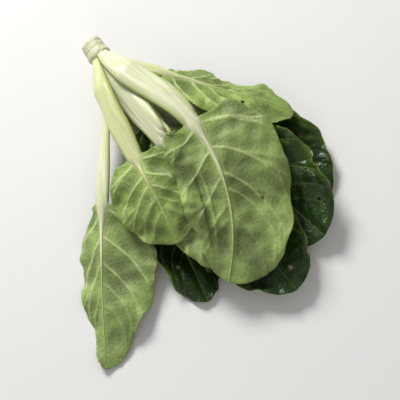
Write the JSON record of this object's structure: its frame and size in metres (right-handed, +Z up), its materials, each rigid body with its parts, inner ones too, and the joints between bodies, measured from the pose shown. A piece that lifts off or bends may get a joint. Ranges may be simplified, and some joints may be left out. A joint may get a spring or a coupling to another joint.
{
  "type": "bok choy",
  "caption": "Small head of bok choy with swollen pale stalks and rounded green leaves, cut at the root and lying on its side with its leaves fanned out.",
  "frame": {"origin": "on the surface that the head lies on, under the middle of its bounding box", "axes": "+X from the cut stem to the leaf tips, +Z up from the surface, +Y to the left of +X seen from above"},
  "size_m": [0.2098, 0.2008, 0.0461],
  "materials": {
    "stalk": "smooth, moist, cream-green leaf stalk with fine ribs along it",
    "blade": "waxy green leaf blade, dark and glossy on its inner face, pale and matt on its outer face",
    "stem": "cut stub of stem, pale, with rings where older leaves came off"
  },
  "bodies": {
    "root": {"leaf_01_stalk": "stalk", "leaf_01_blade": "blade", "leaf_02_stalk": "stalk", "leaf_02_blade": "blade", "leaf_03_stalk": "stalk", "leaf_03_blade": "blade", "leaf_04_stalk": "stalk", "leaf_04_blade": "blade", "leaf_05_stalk": "stalk", "leaf_05_blade": "blade", "leaf_06_stalk": "stalk", "leaf_06_blade": "blade", "leaf_07_stalk": "stalk", "leaf_07_blade": "blade", "leaf_08_stalk": "stalk", "leaf_08_blade": "blade", "leaf_09_stalk": "stalk", "leaf_09_blade": "blade", "leaf_10_stalk": "stalk", "leaf_10_blade": "blade", "leaf_11_stalk": "stalk", "leaf_11_blade": "blade", "stem": "stem"}
  },
  "joints": []
}
